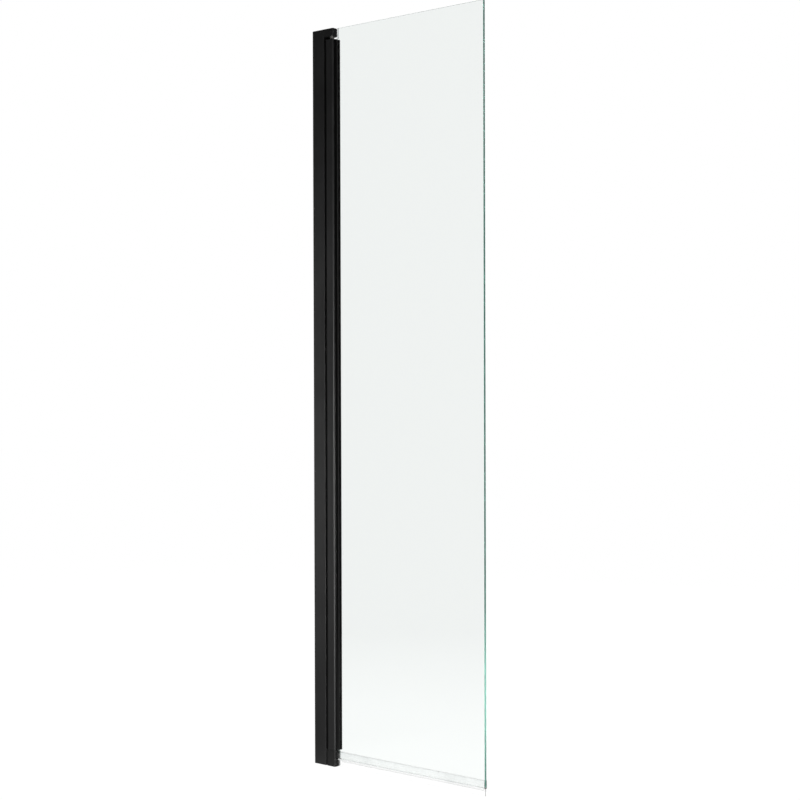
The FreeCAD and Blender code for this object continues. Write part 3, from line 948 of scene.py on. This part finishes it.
@dataclass
class GlassPane(SubAssembly):
    """The toughened pane, with fine arrises and dubbed free corners."""

    arris: float = 0.15 * MM
    arris_steps: int = 3
    free_corner_r: float = 1.6 * MM
    notch_depth: float = 7.5 * MM
    flat: float = 0.99

    def build(self) -> None:
        """Makes the pane in the place of its plain solid."""
        pane = new_piece("glass_pane", self.fill, smooth_degrees=10.0)
        for face in pane.data.polygons:
            face.material_index = self.side(face)
        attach(pane, "screen")
        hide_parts("glass_panel")
        self.finishes.dress(pane, FLOAT_GLASS, GROUND_EDGE, POLISHED_EDGE, PAINTED_SHADE_NOTCHES)
        self.pieces.append(pane)

    def side(self, face: bpy.types.MeshPolygon) -> PaneSide:
        """Tells which side of the pane a face is on. The level arrises count as faces.

        Args:
            face: The face.

        Returns:
            The side.
        """
        if abs(face.normal.y) > self.flat:
            return PaneSide.FACES
        if abs(face.normal.x) < abs(face.normal.z):
            return PaneSide.LEVEL_EDGES if abs(face.normal.z) > self.flat else PaneSide.FACES
        return PaneSide.FREE_EDGE if face.normal.x > 0.0 else PaneSide.NOTCHES

    def outline(self, inset: float) -> list[tuple[float, float]]:
        """Draws the pane's outline.

        Args:
            inset: How far it is drawn in all round.

        Returns:
            Its points in X and Z.
        """
        low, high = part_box("glass_panel")
        plug_low, plug_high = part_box("bottom_end_plug")[0].z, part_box("top_end_plug")[1].z
        notch = low.x + self.notch_depth
        free = self.free_corner_r - inset
        return rounded([
            (notch + inset, low.z + inset, 0.0),
            (high.x - inset, low.z + inset, free),
            (high.x - inset, high.z - inset, free),
            (notch + inset, high.z - inset, 0.0),
            (notch + inset, plug_high - inset, 0.0),
            (low.x + inset, plug_high - inset, 0.0),
            (low.x + inset, plug_low + inset, 0.0),
            (notch + inset, plug_low + inset, 0.0),
        ])

    def fill(self, work: bmesh.types.BMesh) -> None:
        """Lofts the pane from face to face, round each arris.

        Args:
            work: The bmesh to fill.
        """
        low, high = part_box("glass_panel")
        rings = []
        for step in range(self.arris_steps + 1):
            turn = math.pi / 2.0 * step / self.arris_steps
            inset = self.arris * (1.0 - math.sin(turn))
            depth = self.arris * (1.0 - math.cos(turn))
            rings.append((low.y + depth, inset))
        rings += [(low.y + high.y - y, inset) for y, inset in reversed(rings)]
        loops = [[work.verts.new((x, y, z)) for x, z in self.outline(inset)] for y, inset in rings]
        loft_sides(work, loops)
        work.faces.new(reversed(loops[0]))
        work.faces.new(loops[-1])


@dataclass
class SealStrip(SubAssembly):
    """The clear strip on the foot of the glass, with its wiping fin and its drip fin."""

    wall: float = 1.0 * MM
    shoulder_round: float = 0.6 * MM
    glass_gap: float = 0.08 * MM
    seat_round: float = 0.2 * MM
    lip_run: float = 3.0 * MM
    lip_flare: float = 0.105 * MM
    lip_tip: float = 0.35 * MM
    lip_round: float = 0.12 * MM
    fin: float = 1.1 * MM
    fin_round: float = 0.3 * MM
    root_drop: float = 0.2 * MM
    root_round: float = 0.5 * MM
    foot_height: float = 1.4 * MM
    foot_flare: float = 0.25 * MM
    foot_round: float = 0.4 * MM
    drip_top: float = 1.6 * MM
    drip_top_round: float = 0.9 * MM
    drip_under: float = 0.1 * MM
    drip_under_round: float = 0.8 * MM
    drip_drop: float = 6.0 * MM
    drip_end: float = 0.75 * MM
    drip_lean: float = 0.35 * MM
    drip_round: float = 0.2 * MM
    drip_trim: float = 16.0 * MM
    stations: int = 70
    wander: float = 0.21 * MM
    wander_length: float = 90.0 * MM
    ripple_share: float = 0.5
    ripple_length: float = 33.3 * MM
    ripple_start: float = 1.1

    def build(self) -> None:
        """Makes the strip in the place of its plain solid."""
        strip = new_piece("seal_strip", self.fill, smooth_degrees=40.0)
        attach(strip, "screen")
        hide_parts("drip_seal")
        self.finishes.dress(strip, CLEAR_SEAL)
        self.pieces.append(strip)

    def section(self) -> list[tuple[float, float]]:
        """Draws the strip's cross-section, room side first.

        Returns:
            Its points in Y and Z.
        """
        low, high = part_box("drip_seal")
        glass_low, glass_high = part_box("glass_panel")
        inner = glass_high.y + self.glass_gap
        outer = inner + self.wall
        tip = inner + self.lip_flare
        grip = high.z - self.lip_run
        seat = glass_low.z - self.glass_gap
        web = seat - self.wall
        root = web - self.root_drop
        fin = self.fin / 2.0
        ankle = low.z + self.foot_height
        foot = fin + self.foot_flare
        drip = web - self.drip_drop
        return rounded([
            (-fin, ankle, self.fin_round),
            (-fin, root, self.root_round),
            (-outer, web, self.shoulder_round),
            (-outer, grip, 0.0),
            (-tip - self.lip_tip, high.z, self.lip_round),
            (-tip, high.z, self.lip_round),
            (-inner, grip, 0.0),
            (-inner, seat, self.seat_round),
            (inner, seat, self.seat_round),
            (inner, grip, 0.0),
            (tip, high.z, self.lip_round),
            (tip + self.lip_tip, high.z, self.lip_round),
            (outer, grip, 0.0),
            (outer, web + self.drip_top, self.drip_top_round),
            (high.y, drip + self.drip_end, self.drip_round),
            (high.y - self.drip_lean, drip, self.drip_round),
            (outer, web - self.drip_under, self.drip_under_round),
            (fin, root, self.root_round),
            (fin, ankle, self.fin_round),
            (foot, low.z, self.foot_round),
            (-foot, low.z, self.foot_round),
        ], steps=4)

    def sway(self, along: float) -> float:
        """Tells how far the soft fin's foot stands off its line.

        Args:
            along: The distance from the strip's start.

        Returns:
            The distance, towards the bath.
        """
        slow = math.sin(math.tau * along / self.wander_length)
        quick = math.sin(math.tau * along / self.ripple_length + self.ripple_start)
        return self.wander * (slow + self.ripple_share * quick)

    def fill(self, work: bmesh.types.BMesh) -> None:
        """Runs the section along the glass.

        The fin wanders slightly, more towards its foot. The drip fin is trimmed back to the web
        on a slant towards the free corner of the glass.

        Args:
            work: The bmesh to fill.
        """
        low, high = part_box("drip_seal")
        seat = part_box("glass_panel")[0].z
        web_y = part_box("glass_panel")[1].y + self.glass_gap + self.wall
        section = self.section()
        loops = []
        for station in range(self.stations + 1):
            along = (high.x - low.x) * station / self.stations
            x = low.x + along
            sway = self.sway(along)
            kept = min(1.0, (high.x - x) / self.drip_trim)
            loop = []
            for y, z in section:
                trimmed = min(y, web_y + (y - web_y) * kept)
                hang = max(0.0, (seat - z) / (seat - low.z)) ** 2
                loop.append(work.verts.new((x, trimmed + sway * hang, z)))
            loops.append(loop)
        loft_sides(work, loops)
        work.faces.new(loops[0])
        work.faces.new(reversed(loops[-1]))


# ---- Studio ------------------------------------------------------------------------------


@dataclass(frozen=True)
class Lamp:
    """A soft rectangular lamp. Only one with sheen shows in glossy surfaces."""

    name: str
    place: Point
    aim: Point
    size: Span
    watts: float
    sheen: bool = True
    spread: float = 180.0

    def hang(self) -> bpy.types.Object:
        """Puts the lamp in the scene.

        Returns:
            The lamp's object.
        """
        data = bpy.data.lights.new(self.name, "AREA")
        data.shape = "RECTANGLE"
        data.size, data.size_y = self.size
        data.energy = self.watts
        data.spread = math.radians(self.spread)
        lamp = bpy.data.objects.new(self.name, data)
        bpy.context.scene.collection.objects.link(lamp)
        lamp.location = self.place
        lamp.rotation_mode = "QUATERNION"
        facing = Vector(self.aim) - Vector(self.place)
        lamp.rotation_quaternion = facing.to_track_quat("-Z", "Y")
        lamp.visible_camera = False
        lamp.visible_transmission = False
        lamp.visible_glossy = self.sheen
        return lamp


LAMPS = (
    Lamp("left_strip", (-1.68, -0.8, 0.68), (0.04, 0.0, 0.68), (0.2, 1.0), 6.2),
    Lamp("left_foot", (-1.68, -0.8, 0.18), (0.04, 0.0, 0.18), (0.2, 0.34), 2.9),
    Lamp("front_strip", (1.35, -2.35, 0.3), (0.05, 0.0, 0.35), (0.4, 0.5), 52.0),
    Lamp("right_panel", (2.2, -0.4, 0.4), (0.3, 0.0, 0.3), (0.6, 0.7), 14.0),
    Lamp("back_fill", (-0.6, 2.4, 1.4), (0.2, 0.0, 0.7), (1.2, 1.6), 16.0, sheen=False),
    Lamp("edge_fill", (1.5, -0.8, 0.05), (0.4, 0.0, 0.15), (0.5, 0.3), 4.5, sheen=False),
    Lamp("corner_fill", (0.9, -0.42, 0.18), (0.4, 0.0, 0.18), (0.3, 0.12), 0.28, sheen=False,
         spread=26.0),
)


@dataclass
class Studio:
    """Floor, surroundings, lamps and camera."""

    camera_place: Point = (2.0161, -2.1918, 0.7258)
    camera_turn: float = 39.534
    camera_tilt: float = -0.578
    camera_roll: float = -0.155
    focal_share: float = 1549.8 / 800.0
    sensor: float = 36.0
    clip: Span = (0.05, 60.0)
    floor_half: float = 12.0
    floor_drop: float = 0.6 * MM
    floor_colour: Colour = (0.82, 0.82, 0.82)
    floor_white: float = 1.065
    floor_share: float = 0.92
    white_through_glass: float = 1.085
    pool_middle: Point = (0.2, 0.0, 0.0)
    pool_span: Span = (0.2, 1.7)
    pool_glow: float = 0.55
    wall_side: Span = (-0.12, 0.03)
    room_side: Span = (-0.45, -0.15)
    shaded_glow: float = 0.2
    bath_side: Span = (0.2, 1.8)
    room_glow: float = 0.035
    back_glow: float = 0.3
    ceiling_glow: float = 0.15
    ceiling_span: Span = (0.5, 1.0)
    back_span: Span = (0.1, 0.9)
    ambient: float = 0.3
    hung: list[bpy.types.Object] = field(default_factory=list)

    def build(self) -> None:
        """Makes the whole studio."""
        self.camera()
        self.floor()
        self.surroundings()
        self.hung = [lamp.hang() for lamp in LAMPS]
        bpy.context.scene.view_settings.view_transform = "Standard"

    def camera(self) -> None:
        """A camera at the photograph's viewing angle."""
        data = bpy.data.cameras.new("camera")
        data.sensor_width = self.sensor
        data.lens = self.sensor * self.focal_share
        data.clip_start, data.clip_end = self.clip
        camera = bpy.data.objects.new("camera", data)
        bpy.context.scene.collection.objects.link(camera)
        upright = Matrix.Rotation(math.radians(90.0 + self.camera_tilt), 4, "X")
        turn = Matrix.Rotation(math.radians(self.camera_turn), 4, "Z")
        roll = Matrix.Rotation(math.radians(self.camera_roll), 4, "Z")
        camera.matrix_world = Matrix.Translation(self.camera_place) @ turn @ upright @ roll
        bpy.context.scene.camera = camera

    def sheet(self, work: bmesh.types.BMesh) -> None:
        """Fills a bmesh with the floor's one face.

        Args:
            work: The bmesh to fill.
        """
        size = self.floor_half
        corners = [(-size, -size), (size, -size), (size, size), (-size, size)]
        work.faces.new([work.verts.new((x, y, 0.0)) for x, y in corners])

    def floor(self) -> None:
        """A plain pale floor: a glow where it is seen, matt where it gives light back."""
        floor = new_piece("floor", self.sheet)
        floor.location.z = -self.floor_drop
        material = bpy.data.materials.new("pale_floor")
        material.use_nodes = True
        graph = Graph(material.node_tree)
        output = graph.add("ShaderNodeOutputMaterial")
        matt = graph.add("ShaderNodeBsdfDiffuse")
        graph.feed(matt.inputs["Color"], self.floor_colour)
        white = graph.add("ShaderNodeEmission")
        path = graph.add("ShaderNodeLightPath").outputs
        graph.feed(white.inputs["Strength"], self.floor_strength(graph, path))
        seen = graph.product(path["Is Camera Ray"], self.floor_share)
        share = graph.highest(seen, path["Is Transmission Ray"], path["Is Glossy Ray"])
        kept = graph.add("ShaderNodeMixShader")
        for socket, source in zip(kept.inputs, (share, matt.outputs[0], white.outputs[0])):
            graph.feed(socket, source)
        graph.feed(output.inputs["Surface"], kept.outputs[0])
        floor.data.materials.append(material)

    def floor_strength(self, graph: Graph,
                       path: bpy.types.bpy_prop_collection) -> bpy.types.NodeSocket:
        """Sets how brightly the floor shows to each kind of ray.

        Glossy rays see a pale pool round the screen that fades outwards, with a shaded part on
        the room side of the wall, and a pale floor behind.

        Args:
            graph: The floor's nodes.
            path: The outputs of its Light Path node.

        Returns:
            The strength's socket.
        """
        away = graph.add("ShaderNodeVectorMath", operation="DISTANCE")
        graph.feed(away.inputs[0], graph.places())
        graph.feed(away.inputs[1], self.pool_middle)
        fade = graph.between(away.outputs["Value"], *self.pool_span, 1.0, 0.0)
        across, depth, _ = graph.axes(graph.places())
        clear_of_wall = graph.between(across, *self.wall_side)
        clear_of_room = graph.between(depth, *self.room_side, 1.0, 0.0)
        shade = graph.between(graph.highest(clear_of_wall, clear_of_room), 0.0, 1.0,
                              self.shaded_glow, 1.0)
        pool = graph.product(fade, shade, self.pool_glow)
        behind = graph.between(depth, *self.bath_side, self.room_glow, self.back_glow)
        sheen = graph.product(graph.highest(pool, behind), path["Is Glossy Ray"])
        seen = graph.product(path["Is Camera Ray"], self.floor_white)
        through = graph.between(fade, 0.0, 1.0, 1.0, self.white_through_glass)
        through = graph.product(through, path["Is Transmission Ray"])
        return graph.highest(seen, through, sheen)

    def surroundings(self) -> None:
        """White behind the screen and through it. Reflections see a dim room, paler behind."""
        world = bpy.data.worlds.new("studio")
        world.use_nodes = True
        bpy.context.scene.world = world
        graph = Graph(world.node_tree)
        output = graph.add("ShaderNodeOutputWorld")
        _, depth, height = graph.axes(graph.add("ShaderNodeTexCoord").outputs["Generated"])
        room = graph.blend(graph.between(height, *self.ceiling_span),
                           (self.room_glow,) * 3, (self.ceiling_glow,) * 3)
        room = graph.blend(graph.between(depth, *self.back_span), room, (self.back_glow,) * 3)
        path = graph.add("ShaderNodeLightPath").outputs
        light = graph.blend(path["Is Glossy Ray"], (self.ambient,) * 3, room)
        seen = graph.highest(path["Is Camera Ray"], path["Is Transmission Ray"])
        background = graph.add("ShaderNodeBackground")
        graph.feed(background.inputs["Color"], graph.blend(seen, light, (1.0, 1.0, 1.0)))
        graph.feed(output.inputs["Surface"], background.outputs[0])

    def keep_off(self, piece: bpy.types.Object) -> None:
        """Keeps the lamps off a piece, so that no hard image of them stands in its surface.

        Args:
            piece: The piece, which lamps without sheen still light.
        """
        spared = bpy.data.collections.new("spared_by_lamps")
        spared.objects.link(piece)
        spared.collection_objects[0].light_linking.link_state = "EXCLUDE"
        for lamp in self.hung:
            if lamp.visible_glossy:
                lamp.light_linking.receiver_collection = spared


def main() -> None:
    """Builds the studio and the sub-assemblies."""
    logging.basicConfig(level=logging.INFO, format="%(name)s: %(message)s")
    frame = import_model()
    studio = Studio()
    studio.build()
    finishes = FinishShelf()
    for kind in (WallFrame, LiftGlide, TurningFrame, GlassPane, SealStrip):
        assembly = kind(finishes, frame["nodes"])
        assembly.build()
        for piece in assembly.pieces:
            LOG.info("%s: %s, %d faces", kind.__name__, piece.name, len(piece.data.polygons))
        if kind is GlassPane:
            studio.keep_off(assembly.pieces[0])


if __name__ == "__main__":
    main()
